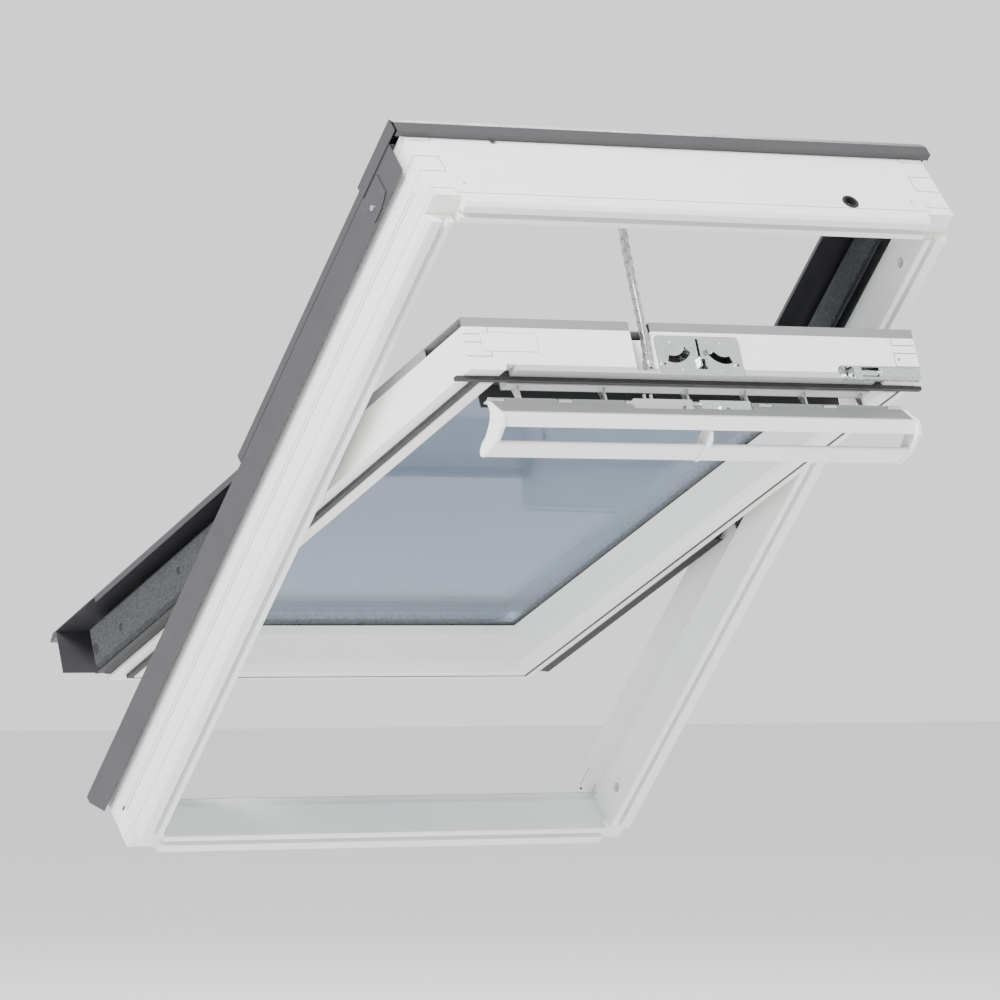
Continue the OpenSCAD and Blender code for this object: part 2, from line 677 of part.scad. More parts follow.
// --- glass ---
pane_x0 = sash_x + pane_u;
pane_x1 = frame_w - pane_x0;
pane_y0 = sash_bottom + pane_u;
pane_y1 = sash_top - pane_u;
inner_z = glass_z - seal_t;
outer_z = inner_z - pane_t - pane_gap;
spacer_w = 7;
module pane(z_face) {
    color([0.62, 0.66, 0.72, 0.5]) in_sash() block([pane_x0, pane_y0, z_face - pane_t], [pane_x1,
        pane_y1, z_face]);
}
module inner_pane() {
    pane(inner_z);
}
module outer_pane() {
    pane(outer_z);
}
module pane_ring(inset, w, low, high) {
    x0 = pane_x0 + inset;
    y0 = pane_y0 + inset;
    x1 = pane_x1 - inset;
    y1 = pane_y1 - inset;
    difference() {
        block([x0, y0, low], [x1, y1, high]);
        block([x0 + w, y0 + w, low - cut], [x1 - w, y1 - w, high + cut]);
    }
}
// The spacer shows inside the stop, so it is wide at the sides and wider at the rails
module glass_spacer() {
    inset = stile_w - pane_u - 4;
    x0 = pane_x0 + inset;
    y0 = sash_bottom + bottom_rail_w - 4;
    x1 = frame_w - x0;
    y1 = sash_top - top_rail_w + 4;
    color(alu) in_sash() difference() {
        block([pane_x0, pane_y0, outer_z], [pane_x1, pane_y1, inner_z - pane_t]);
        block([x0 + spacer_w, y0 + spacer_w, outer_z - cut], [x1 - spacer_w, y1 - spacer_w, inner_z]);
    }
}
module glazing_seal() {
    x0 = sash_x + stile_w;
    y0 = sash_bottom + bottom_rail_w;
    y1 = sash_top - top_rail_w;
    color(black) in_sash() difference() {
        block([x0 - seal_w, y0 - seal_w, inner_z], [frame_w - x0 + seal_w, y1 + seal_w, glass_z]);
        block([x0 + 1, y0 + 1, inner_z - cut], [frame_w - x0 - 1, y1 - 1, glass_z + cut]);
    }
}

// --- sash covers ---
clad_z = outer_z - pane_t - 2;            // outer face of the cladding
clad_t = sash_back - clad_z;
clad_u = 62;
module cladding_section(u1) {
    polygon([[0, sash_back], [0, clad_z], [u1, clad_z], [u1, outer_z - pane_t - 0.3],
        [u1 - 2, outer_z - pane_t - 0.3], [u1 - 2, clad_z + sheet_t], [sheet_t, clad_z + sheet_t],
        [sheet_t, sash_back]]);
}
module top_cladding() {
    color(alu) in_sash() difference() {
        translate([0, sash_top, 0]) mirror([0, 1, 0]) along_x(sash_x, sash_x
            + sash_w) cladding_section(clad_u + 36);
        block([slot_x0, sash_top - slot_in, clad_z - cut], [slot_x1, sash_top + cut, sash_back + cut]);
    }
}
module side_cladding() {
    color(alu) in_sash() both_sides() translate([sash_x, 0, 0])
        along_y(pivot_y + plate_l / 2 + 2, sash_top - clad_u - 36) cladding_section(clad_u);
}
cover_end = pivot_y - pivot_clear;
cover_out = 6;                            // the lower covers start this far inside the timber's edge
cover_in = sash_x + 30;
cover_lip = 9;
cover_tip = -29;                          // the bottom cover's drip, beyond the frame's lower edge
flange_y = -8;
flange_z = -sill_depth - 6;
// Lower side cover of the sash: laps over the jamb, stands on the stile, with a folded outer edge
module sash_cover_body() {
    z0 = -outer_plane - 1;
    z1 = z0 + sheet_t;
    along_y(bottom_zone, cover_end) polygon([[cover_out, z0], [cover_in, z0], [cover_in, sash_back],
        [cover_in - sheet_t, sash_back], [cover_in - sheet_t, z1], [cover_out + sheet_t, z1],
        [cover_out + sheet_t, z0 + cover_lip], [cover_out, z0 + cover_lip]]);
}
module sash_cover_left() {
    color(lead) in_sash() sash_cover_body();
}
module sash_cover_right() {
    color(lead) in_sash() mirror_x() sash_cover_body();
}
// Bottom cover: an outer plate with a drip, a hanging flange and a foot on the bottom rail
module sash_bottom_cover() {
    z0 = -outer_plane - 1;
    z1 = z0 + sheet_t;
    color(lead) in_sash() {
        along_x(cover_out, frame_w - cover_out) polygon([[cover_tip, z0 + 8], [cover_tip + 12, z0],
            [bottom_zone, z0],
            [bottom_zone, z1], [flange_y + sheet_t, z1], [flange_y + sheet_t, flange_z], [flange_y,
                flange_z],
            [flange_y, z0 + 8 + sheet_t], [cover_tip, z0 + 8 + sheet_t]]);
        block([sash_x + 4, sash_bottom + 10, z0], [sash_x + sash_w - 4, sash_bottom + 10 + sheet_t,
            sash_back]);
        block([sash_x + 30, bottom_zone - 40, z0], [sash_x + sash_w - 30, bottom_zone - 40 + sheet_t,
            outer_z - pane_t - 0.3]);
    }
}
sash_insul_x = sash_x - 26;
sash_insul_y0 = 55;
sash_insul_y1 = pivot_y - insul_start;
module sash_insulation() {
    color(foam) in_sash() both_sides() difference() {
        along_y(sash_insul_y0, sash_insul_y1) polygon([[sash_x, -112], [sash_insul_x + 8, -130],
            [sash_insul_x, -122], [sash_insul_x, -72], [sash_insul_x + 5, -66], [sash_x, -66]]);
        for (p = insul_screw_places) cyl_x(sash_insul_x - cut, sash_insul_x + 3, p[0], p[1], p[2]);
    }
}
insul_screw_places = [[sash_insul_y0 + 9, -92, 8.2], [sash_insul_y0 + 90, -92, 5.2],
    [sash_insul_y0 + 275, -100, 5.2]];
module insulation_screws() {
    color(black) in_sash() both_sides() for (p = insul_screw_places) {
        cyl_x(sash_insul_x + 0.6, sash_insul_x + 3, p[0], p[1], p[2] - 0.2);
    }
}
// Gasket in the sash's groove; along the top it runs out past the stiles
gasket_reach = 10;                        // reach of its ends past the sash's faces
gasket_sink = 1.5;                        // its face lies this far below the sash's strip
module sash_gasket() {
    u0 = rim_u + soft_gap;
    u1 = groove_u - soft_gap;
    high = strip_z - gasket_sink;
    color(black) in_sash() difference() {
        union() {
            sash_ring(u0, u1, sash_face - groove_d + soft_gap, high);
            block([sash_x - gasket_reach, sash_top - u1, sash_face + soft_gap],
                [sash_x + sash_w + gasket_reach, sash_top - u0, high]);
        }
        block([slot_x0, sash_top - slot_in, sash_back], [slot_x1, sash_top + cut, sash_face - 4]);
    }
}
// Pair of fins along each lower stile, below the insulation
module sash_fins() {
    fin_y0 = sash_bottom + 12;
    color(black) in_sash() both_sides() along_y(fin_y0, sash_insul_y1) polygon([[sash_x, -65.7],
        [sash_x - 14, -65.7], [sash_x - 24, -63], [sash_x - 24, -62], [sash_x - 12, -63.5], [sash_x - 6,
            -62],
        [sash_x, -62]]);
}

// --- ventilation channel, hinge rail and flap ---
hinge_y = sash_top - 22;
hinge_z = strip_z + 26;
channel_x0 = sash_x + stile_w + 2;
channel_x1 = frame_w - channel_x0;
channel_floor = glass_z + stop_t;
rib_pitch = 88;
rib_w = 12;
rib_count = floor((channel_x1 - channel_x0 - rib_w) / rib_pitch);
module vent_channel() {
    y0 = sash_top - top_rail_w;
    y_strip = sash_top - strip_u;
    color(grey) in_sash() {
        // floor, back and lower wall of the channel
        block([channel_x0, y0, channel_floor], [channel_x1, y_strip, channel_floor + 2]);
        block([channel_x0, y_strip - 2, channel_floor], [channel_x1, y_strip, strip_z]);
        block([channel_x0, y0, channel_floor], [channel_x1, y0 + 2, strip_z + 1]);
        for (k = [0:rib_count]) {
            x = channel_x0 + k * rib_pitch;
            block([x, y0, channel_floor], [x + rib_w, y_strip, channel_floor + 18]);
        }
    }
}
// Strips that carry the gasket along the top rail
module vent_strips() {
    low = sash_face - groove_d;
    color(grey) in_sash() difference() {
        union() {
            block([channel_x0, sash_top - rim_u, low], [channel_x1, sash_top, sash_face]);
            block([channel_x0, sash_top - strip_u, low], [channel_x1, sash_top - groove_u, strip_z]);
        }
        block([slot_x0, sash_top - slot_in, low - cut], [slot_x1, sash_top + cut, sash_face - 4]);
        bolt_recess();
    }
}
module vent_filter() {
    color(foam) in_sash() for (k = [0:rib_count - 1]) {
        x = channel_x0 + k * rib_pitch + rib_w;
        block([x + 1, sash_top - top_rail_w + 4, channel_floor + 2],
            [x + rib_pitch - rib_w - 1, sash_top - strip_u - 4, channel_floor + 12]);
    }
}
rod_r = rod_d / 2;
knuckle_r = rod_r + 2.5;
flap_x0 = sash_x + flap_inset;
flap_x1 = frame_w - flap_x0;
knuckle_l = 20;
knuckle_count = 7;
rail_x0 = flap_x0 + 6;
rail_x1 = flap_x1 - 6;
knuckle_pitch = (rail_x1 - rail_x0 - knuckle_l) / (knuckle_count - 1);
arm_places = [rail_x0 + 50, chain_x - 60, chain_x + 63.5, chain_x + 152, rail_x1 - 138, rail_x1 - 50];
// Rail that carries the flap on arms from the channel, with knuckles for the rod
module hinge_rail() {
    color(alu) in_sash() difference() {
        union() {
            block([rail_x0, hinge_y - 12, hinge_z - 2.6], [rail_x1, hinge_y - 5, hinge_z - 0.6]);
            for (k = [0:knuckle_count - 1]) {
                x = rail_x0 + k * knuckle_pitch;
                cyl_x(x, x + knuckle_l, hinge_y, hinge_z, knuckle_r);
                block([x, hinge_y - 6, hinge_z - 2.6], [x + knuckle_l, hinge_y, hinge_z - 0.6]);
            }
            for (x = arm_places) {
                along_x(x, x + 3) polygon([[sash_top - strip_u + 1, strip_z],
                    [sash_top - groove_u - 3, strip_z], [hinge_y - 6, hinge_z - 2],
                    [hinge_y - 12, hinge_z - 2]]);
            }
        }
        cyl_x(rail_x0 - cut, rail_x1 + cut, hinge_y, hinge_z, rod_r + fit);
    }
}
module flap_hinge_rod() {
    color(steel) in_sash() cyl_x(rail_x0, rail_x1, hinge_y, hinge_z, rod_r);
}
// The flap is drawn round its hinge: p from the hinge towards the head, q into the room
plate_angle = 49;
band_angle = 118;
bar_angle = 172;
plate_way = [cos(plate_angle), sin(plate_angle)];
plate_out = [sin(plate_angle), -cos(plate_angle)];
band_out = [sin(band_angle), -cos(band_angle)];
plate_tip = flap_plate * plate_way;
band_tip = plate_tip + flap_band * [cos(band_angle), sin(band_angle)];
bar_foot = [-31, 55.5];
mid_w = 4;                                // width of the support at the middle
mid_x = (frame_w - mid_w) / 2;
module at_hinge() {
    in_sash() translate([0, hinge_y, hinge_z]) children();
}
module flap_profile() {
    knuckle_gap = 1.5;
    clear_r = knuckle_r + 1;
    color(white) at_hinge() difference() {
        union() {
            along_x(flap_x0 + 5.3, flap_x1 - 5.3)
                polygon([plate_way * (knuckle_r - 1), plate_tip, band_tip, band_tip + band_out * flap_t,
                    plate_tip + (plate_out + band_out) * flap_t / (1 + plate_out * band_out),
                    plate_way * (knuckle_r - 1) + plate_out * flap_t]);
            for (k = [0:knuckle_count - 2]) {
                x = rail_x0 + k * knuckle_pitch;
                cyl_x(x + knuckle_l + knuckle_gap, x + knuckle_pitch - knuckle_gap, 0, 0, knuckle_r);
            }
        }
        for (k = [0:knuckle_count - 1]) {
            x = rail_x0 + k * knuckle_pitch;
            cyl_x(x - 1, x + knuckle_l + 1, 0, 0, clear_r);
        }
        cyl_x(flap_x0 - cut, flap_x1 + cut, 0, 0, rod_r + fit);
        // room for the brackets at the middle
        cyl_x(chain_x - 30, chain_x + 63, 0, 0, 17.5);
        cyl_x(chain_x + 71, chain_x + 151, 0, 0, 15.5);
    }
}
module grip_bar() {
    top = bar_foot - bar_h * [cos(bar_angle), sin(bar_angle)];
    normal = [-sin(bar_angle), cos(bar_angle)];
    r = bar_t / 2;
    way = [cos(bar_angle), sin(bar_angle)];
    ends = [for (k = [0:8]) (bar_foot - normal * r) + (normal * cos(22.5 * k) + way * sin(22.5 * k)) * r];
    tops = [for (k = [0:8]) (top - normal * r) - (normal * cos(22.5 * k) + way * sin(22.5 * k)) * r];
    spans = [[flap_x0 + 5.3, mid_x - soft_gap], [mid_x + mid_w + soft_gap, flap_x1 - 5.3]];
    color(white) at_hinge() for (span = spans) along_x(span[0], span[1]) polygon(concat(ends, tops));
}
// End cap: a crescent that joins the flap's plate, band and bar
module cap_outline() {
    polygon([[4, 2.5], [8, 5], [30, 29], [31, 34], [28, 47], [9, 58.5], [-18, 63], [-30, 63.5], [-34, 60],
        [-33, 53.5], [-24, 46.5], [-14, 43], [-6, 37], [4, 27.5], [8, 17]]);
}
module flap_end_cap_left() {
    color(white) at_hinge() along_x(flap_x0, flap_x0 + 5) cap_outline();
}
module flap_end_cap_right() {
    color(white) at_hinge() along_x(flap_x1 - 5, flap_x1) cap_outline();
}
// Crescent fin at the flap's middle, between the two lengths of the bar
module flap_mid_support() {
    color(white) at_hinge() along_x(mid_x, mid_x + mid_w)
        polygon([plate_tip + [-2.6, 1.6], band_tip + [-0.4, -0.2], band_tip + [-0.1, 3.6], [14, 54.5],
            [9, 59.5],
            [-18, 64.5], [-30, 65], [-34, 60], [-33, 53.5], [-24, 46.5], [-14, 43], [-6, 37], [6, 31],
            plate_tip + [-10.9, -1.7]]);
}
// Bracket of the chain's release, clamped round the hinge rod
module chain_bracket() {
    x0 = chain_x - 27;
    x1 = chain_x + 60;
    color(grey) at_hinge() difference() {
        union() {
            block([x0, -4.5, -4.5], [x1, 7, 10]);
            block([x0 + 18, -10, 2], [x1 - 22, 7, 14]);
            for (x = [chain_x - 6, chain_x + 4]) block([x, -3, -14], [x + 2, 1, 0]);
        }
        cyl_x(x0 - cut, x1 + cut, 0, 0, rod_r + fit);
        for (k = [0:5]) block([x0 + 30 + 4 * k, -11, 8], [x0 + 32 + 4 * k, -4, 15]);
        block([x1 - 16, -12, 4], [x1 - 10, 8, 11]);
        // clear of the rail's knuckles and its flat strip
        for (k = [0:knuckle_count - 1]) {
            x = rail_x0 + k * knuckle_pitch;
            cyl_x(x - 0.5, x + knuckle_l + 0.5, 0, 0, knuckle_r + 0.3);
            block([x - 0.5, -13, -3], [x + knuckle_l + 0.5, 0, -0.2]);
        }
    }
}
module striker_bracket() {
    x0 = chain_x + 74;
    x1 = x0 + 74;
    color(steel) at_hinge() difference() {
        union() {
            block([x0, -4.5, -4.5], [x1, 6, 8]);
            block([x0 + 26, -6, 4], [x0 + 48, 9, 11]);
        }
        cyl_x(x0 - cut, x1 + cut, 0, 0, rod_r + fit);
        block([x0 + 34, -1, 6], [x0 + 40, 10, 12]);
        for (k = [0:knuckle_count - 1]) {
            x = rail_x0 + k * knuckle_pitch;
            cyl_x(x - 0.5, x + knuckle_l + 0.5, 0, 0, knuckle_r + 0.3);
            block([x - 0.5, -13, -3], [x + knuckle_l + 0.5, 0, -0.2]);
        }
    }
}

// --- lock, label and bolt on the sash's top face ---
lock_mid = lock_x0 + lock_w / 2;
hook_pivot_u = 25;                        // the hooks turn this far from the case's ends
hook_pivot_z = lock_z0 + lock_h - 44;
rivet_r = 3;
hook_r0 = 19;
hook_r1 = 29;
hook_angle0 = 20;
hook_angle1 = 112;
hook_swing = 56;                          // travel of a hook while the flap closes
hook_span = 14;
// Sector of a ring about a hook's pivot, angles from the far side towards the room
module ring_sector(r0, r1, a0, a1, y0, y1) {
    steps = 8;
    tips = [for (i = [0:steps]) a0 + (a1 - a0) * i / steps];
    translate([0, y1, 0]) rotate([90, 0, 0]) linear_extrude(height = y1 - y0)
        polygon(concat([for (a = tips) r1 * [cos(a), sin(a)]],
            [for (i = [steps:-1:0]) r0 * [cos(tips[i]), sin(tips[i])]]));
}
module at_hook() {
    translate([lock_x0 + hook_pivot_u, sash_top, hook_pivot_z]) children();
}
module mirror_lock() {
    translate([2 * lock_mid, 0, 0]) mirror([1, 0, 0]) children();
}
module lock_case() {
    color(steel) in_sash() difference() {
        union() {
            block([lock_x0 + 6, sash_top, lock_z0], [lock_x0 + lock_w - 6, sash_top + lock_t, lock_z0
                + lock_h]);
            block([lock_x0, sash_top, lock_z0 + 6], [lock_x0 + lock_w, sash_top + lock_t, lock_z0 + lock_h]);
            for (x = [lock_x0 + 6, lock_x0 + lock_w - 6]) {
                cyl_y(sash_top, sash_top + lock_t, x, lock_z0 + 6, 6);
            }
            // domed rivet heads
            for (x = [hook_pivot_u, lock_w - hook_pivot_u]) {
                cyl_y(sash_top - 9.5, sash_top + lock_t + 1, lock_x0 + x, hook_pivot_z, rivet_r);
            }
            for (x = [37, lock_w - 30]) {
                cyl_y(sash_top, sash_top + lock_t + 1, lock_x0 + x, lock_z0 + lock_h - 6, 3);
            }
        }
        at_hook() ring_sector(hook_r0, hook_r1, hook_angle0, hook_angle1, -cut, lock_t + 2);
        mirror_lock() at_hook() ring_sector(hook_r0, hook_r1, hook_angle0, hook_angle1, -cut, lock_t + 2);
        block([lock_mid - 1.8, sash_top - cut, lock_z0 + 4], [lock_mid + 1.8, sash_top + lock_t + cut,
            lock_z0 + 30]);
        block([lock_mid - 4, sash_top - cut, lock_z0 + 30], [lock_mid + 9, sash_top + lock_t + cut,
            lock_z0 + 46]);
        for (x = lock_screw_x) cyl_y(sash_top - cut, sash_top + lock_t + cut, x, lock_screw_z,
            lock_screw_r + fit);
    }
}
module lock_screws() {
    color(steel) in_sash() for (x = lock_screw_x) {
        cyl_y(sash_top - 12, sash_top + lock_t, x, lock_screw_z, lock_screw_r);
        cyl_y(sash_top + lock_t, sash_top + lock_t + 1.4, x, lock_screw_z, 4.6);
    }
}
module lock_latch() {
    color(steel) in_sash() difference() {
        union() {
            block([lock_mid - 3.5, sash_top - 14, lock_z0 + 31], [lock_mid + 8.5, sash_top + 9, lock_z0
                + 34]);
            block([lock_mid - 3.5, sash_top - 14, lock_z0 + 34], [lock_mid - 0.5, sash_top + 7, lock_z0
                + 43]);
            block([lock_mid + 4.5, sash_top - 14, lock_z0 + 34], [lock_mid + 8.5, sash_top + 7, lock_z0
                + 43]);
            block([lock_mid - 3.5, sash_top - 16, lock_z0 + 31], [lock_mid + 8.5, sash_top - 14,
                lock_z0 + 43]);
        }
    }
}
// Hook that swings in its curved slot; at rest it stands at the slot's inner end
module hook_body() {
    a0 = hook_angle0 + 3;
    at_hook() {
        ring_sector(hook_r0 + 1.2, hook_r1 - 1.2, a0, a0 + hook_span, -9, lock_t + 6);
        ring_sector(4.4, hook_r1 - 1.2, a0, a0 + hook_span, -9, -4);
        difference() {
            cyl_y(-9, -4, 0, 0, 6.4);
            cyl_y(-10, -3, 0, 0, rivet_r + fit);
        }
        ring_sector(hook_r0 + 1.2, hook_r1 + 2, a0 - 4, a0 + hook_span - 4, lock_t + 4, lock_t + 6);
    }
}
module lock_hook_left() {
    color(steel) in_sash() hook_body();
}
module lock_hook_right() {
    color(steel) in_sash() mirror_lock() hook_body();
}
label_x = sash_x + 23;
label_z = sash_face - 51;
module label_plate() {
    color([0.9, 0.9, 0.9]) in_sash()
        block([label_x, sash_top, label_z], [label_x + 82, sash_top + 0.3, label_z + 26]);
}
// Track that is let into the top face, with the bolt sliding along it
track_t = 1.5;
bolt_r = bolt_d / 2;
bolt_len = 98;
bolt_x1 = sash_x + sash_w - 3;
module bolt_track() {
    z0 = bolt_z - bolt_track_h / 2 + soft_gap;
    z1 = bolt_z + bolt_track_h / 2 - soft_gap;
    low = sash_top - bolt_recess_d;
    color(steel) in_sash() union() {
        block([bolt_x0 + bolt_track_h / 2, low, z0], [sash_x + sash_w, low + track_t - 1, z1]);
        cyl_y(low, low + track_t - 1, bolt_x0 + bolt_track_h / 2, bolt_z, bolt_track_h / 2 - soft_gap);
        block([bolt_x0 + bolt_track_h / 2, low, z0], [sash_x + sash_w, sash_top, z0 + 1.5]);
        block([bolt_x0 + bolt_track_h / 2, low, z1 - 1.5], [sash_x + sash_w, sash_top, z1]);
    }
}
stop_x0 = bolt_x1 - 62;
module bolt_stop_plate() {
    color(steel) in_sash() {
        block([stop_x0, sash_top - 0.8, bolt_z - 6.4], [sash_x + sash_w - 1, sash_top, bolt_z + 6.4]);
        cyl_y(sash_top, sash_top + 1.2, stop_x0 + 8, bolt_z, 4.5);
    }
}
module barrel_bolt() {
    color(steel) in_sash() {
        cyl_x(bolt_x1 - bolt_len, bolt_x1, bolt_y, bolt_z, bolt_r - 0.2);
        block([bolt_x1 - bolt_len - 6, bolt_y - 3, bolt_z - 5], [bolt_x1 - bolt_len, bolt_y + 3, bolt_z
            + 5]);
        // thumb piece
        block([bolt_x1 - bolt_len - 6, bolt_y, bolt_z - 5], [bolt_x1 - bolt_len + 6, sash_top + 4,
            bolt_z + 5]);
        block([bolt_x1 - bolt_len - 6, sash_top + 2, bolt_z - 5], [bolt_x1 - bolt_len + 6, sash_top + 4,
            bolt_z + 12]);
    }
}

frame_head();
frame_sill();
frame_jamb_left();
frame_jamb_right();
head_cover();
hood_left();
hood_right();
side_strip_left();
side_strip_right();
cover_clips();
cover_screws();
sill_cover();
frame_insulation();
frame_gaskets();
bolt_bushes();
frame_hinge_plates();
pivot_pins();
chain_actuator();
cable_grommet();
chain();
chain_end_fitting();
sash_top_rail();
sash_bottom_rail();
sash_stile_left();
sash_stile_right();
inner_pane();
outer_pane();
glass_spacer();
glazing_seal();
top_cladding();
side_cladding();
sash_cover_left();
sash_cover_right();
sash_bottom_cover();
sash_insulation();
insulation_screws();
sash_gasket();
sash_fins();
sash_hinge_plates();
vent_channel();
vent_strips();
vent_filter();
hinge_rail();
flap_hinge_rod();
chain_bracket();
striker_bracket();
lock_case();
lock_latch();
lock_screws();
label_plate();
bolt_track();
bolt_stop_plate();
barrel_bolt();
lock_hook_left();
lock_hook_right();
flap_profile();
grip_bar();
flap_end_cap_left();
flap_end_cap_right();
flap_mid_support();
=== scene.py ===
"""The open roof skylight: camera, materials, chain links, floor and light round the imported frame."""
import math
import bpy
import bmesh
from mathutils import Matrix, Vector


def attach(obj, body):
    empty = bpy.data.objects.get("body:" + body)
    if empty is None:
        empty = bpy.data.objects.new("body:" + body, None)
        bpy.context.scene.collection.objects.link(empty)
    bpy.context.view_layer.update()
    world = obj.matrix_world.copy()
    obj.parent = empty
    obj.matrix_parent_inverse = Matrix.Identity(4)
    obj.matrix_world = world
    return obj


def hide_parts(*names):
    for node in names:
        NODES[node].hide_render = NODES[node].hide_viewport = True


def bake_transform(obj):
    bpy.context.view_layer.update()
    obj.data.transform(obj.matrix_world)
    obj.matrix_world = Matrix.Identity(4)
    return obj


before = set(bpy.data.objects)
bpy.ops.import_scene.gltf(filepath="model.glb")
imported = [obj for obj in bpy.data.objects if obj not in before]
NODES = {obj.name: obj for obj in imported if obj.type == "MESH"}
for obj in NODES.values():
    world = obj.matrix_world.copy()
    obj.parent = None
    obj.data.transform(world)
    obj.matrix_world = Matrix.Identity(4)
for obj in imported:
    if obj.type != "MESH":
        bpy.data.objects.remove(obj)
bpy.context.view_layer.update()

# ---------------------------------------------------------------- the window's sizes, in millimetres
FRAME_W, FRAME_L = 780.0, 1178.0
FRAME_BACK, FRAME_GROOVE = -131.0, -15.0
JAMB_W, HEAD_W, SILL_W = 36.0, 32.0, 34.0
FINGER_Z = (-117.0, -88.0, -60.0, -28.0)          # depths of the frame's finger joints
SASH_X, SASH_Y0, SASH_Y1 = 51.0, 33.0, 1102.0     # the sash's left face, lower end and upper end
SASH_BACK = -116.0
SASH_FINGER_Z = (-106.0, -95.0, -76.0)
SASH_FINGER_L = 36.0
OPEN = 23.4                                       # the opening in degrees, as the part rests
PIVOT_Y, PIVOT_Z = 589.0, -140.0
HINGE_Y, HINGE_Z = 1080.0, -25.0                  # the flap's hinge, in the sash
PITCH = 45.0
ORIGIN = (-FRAME_W / 2, 0, 40)

# Each space's matrix takes its millimetres to the row's metres: x to the right from inside, y up the slope,
# z into the room.
MM = Matrix.Scale(0.001, 4)
ROOF = MM @ Matrix.Rotation(math.radians(90 + PITCH), 4, "X") @ Matrix.Translation(ORIGIN)
SWING = Matrix.Rotation(math.radians(OPEN), 4, "X")
SASH = (ROOF @ Matrix.Translation((0, PIVOT_Y, PIVOT_Z)) @ SWING
        @ Matrix.Translation((0, -PIVOT_Y, -PIVOT_Z)))
FLAP = SASH @ Matrix.Translation((0, HINGE_Y, HINGE_Z))
SPACE = {"roof": ROOF, "sash": SASH, "flap": FLAP, "row": MM}

# ---------------------------------------------------------------- camera
CAMERA_TURN, CAMERA_RISE = math.radians(30.46), math.radians(1.13)
CAMERA_AT = (-4.1825, -7.4610, 0.2865)
camera_data = bpy.data.cameras.new("camera")
camera = bpy.data.objects.new("camera", camera_data)
bpy.context.scene.collection.objects.link(camera)
level = math.cos(CAMERA_RISE)
view = Vector((math.sin(CAMERA_TURN) * level, math.cos(CAMERA_TURN) * level, math.sin(CAMERA_RISE)))
camera.location = Vector(CAMERA_AT)
camera.rotation_euler = view.to_track_quat("-Z", "Y").to_euler()
camera_data.lens = 222
camera_data.sensor_width = 36
camera_data.clip_end = 200
bpy.context.scene.camera = camera


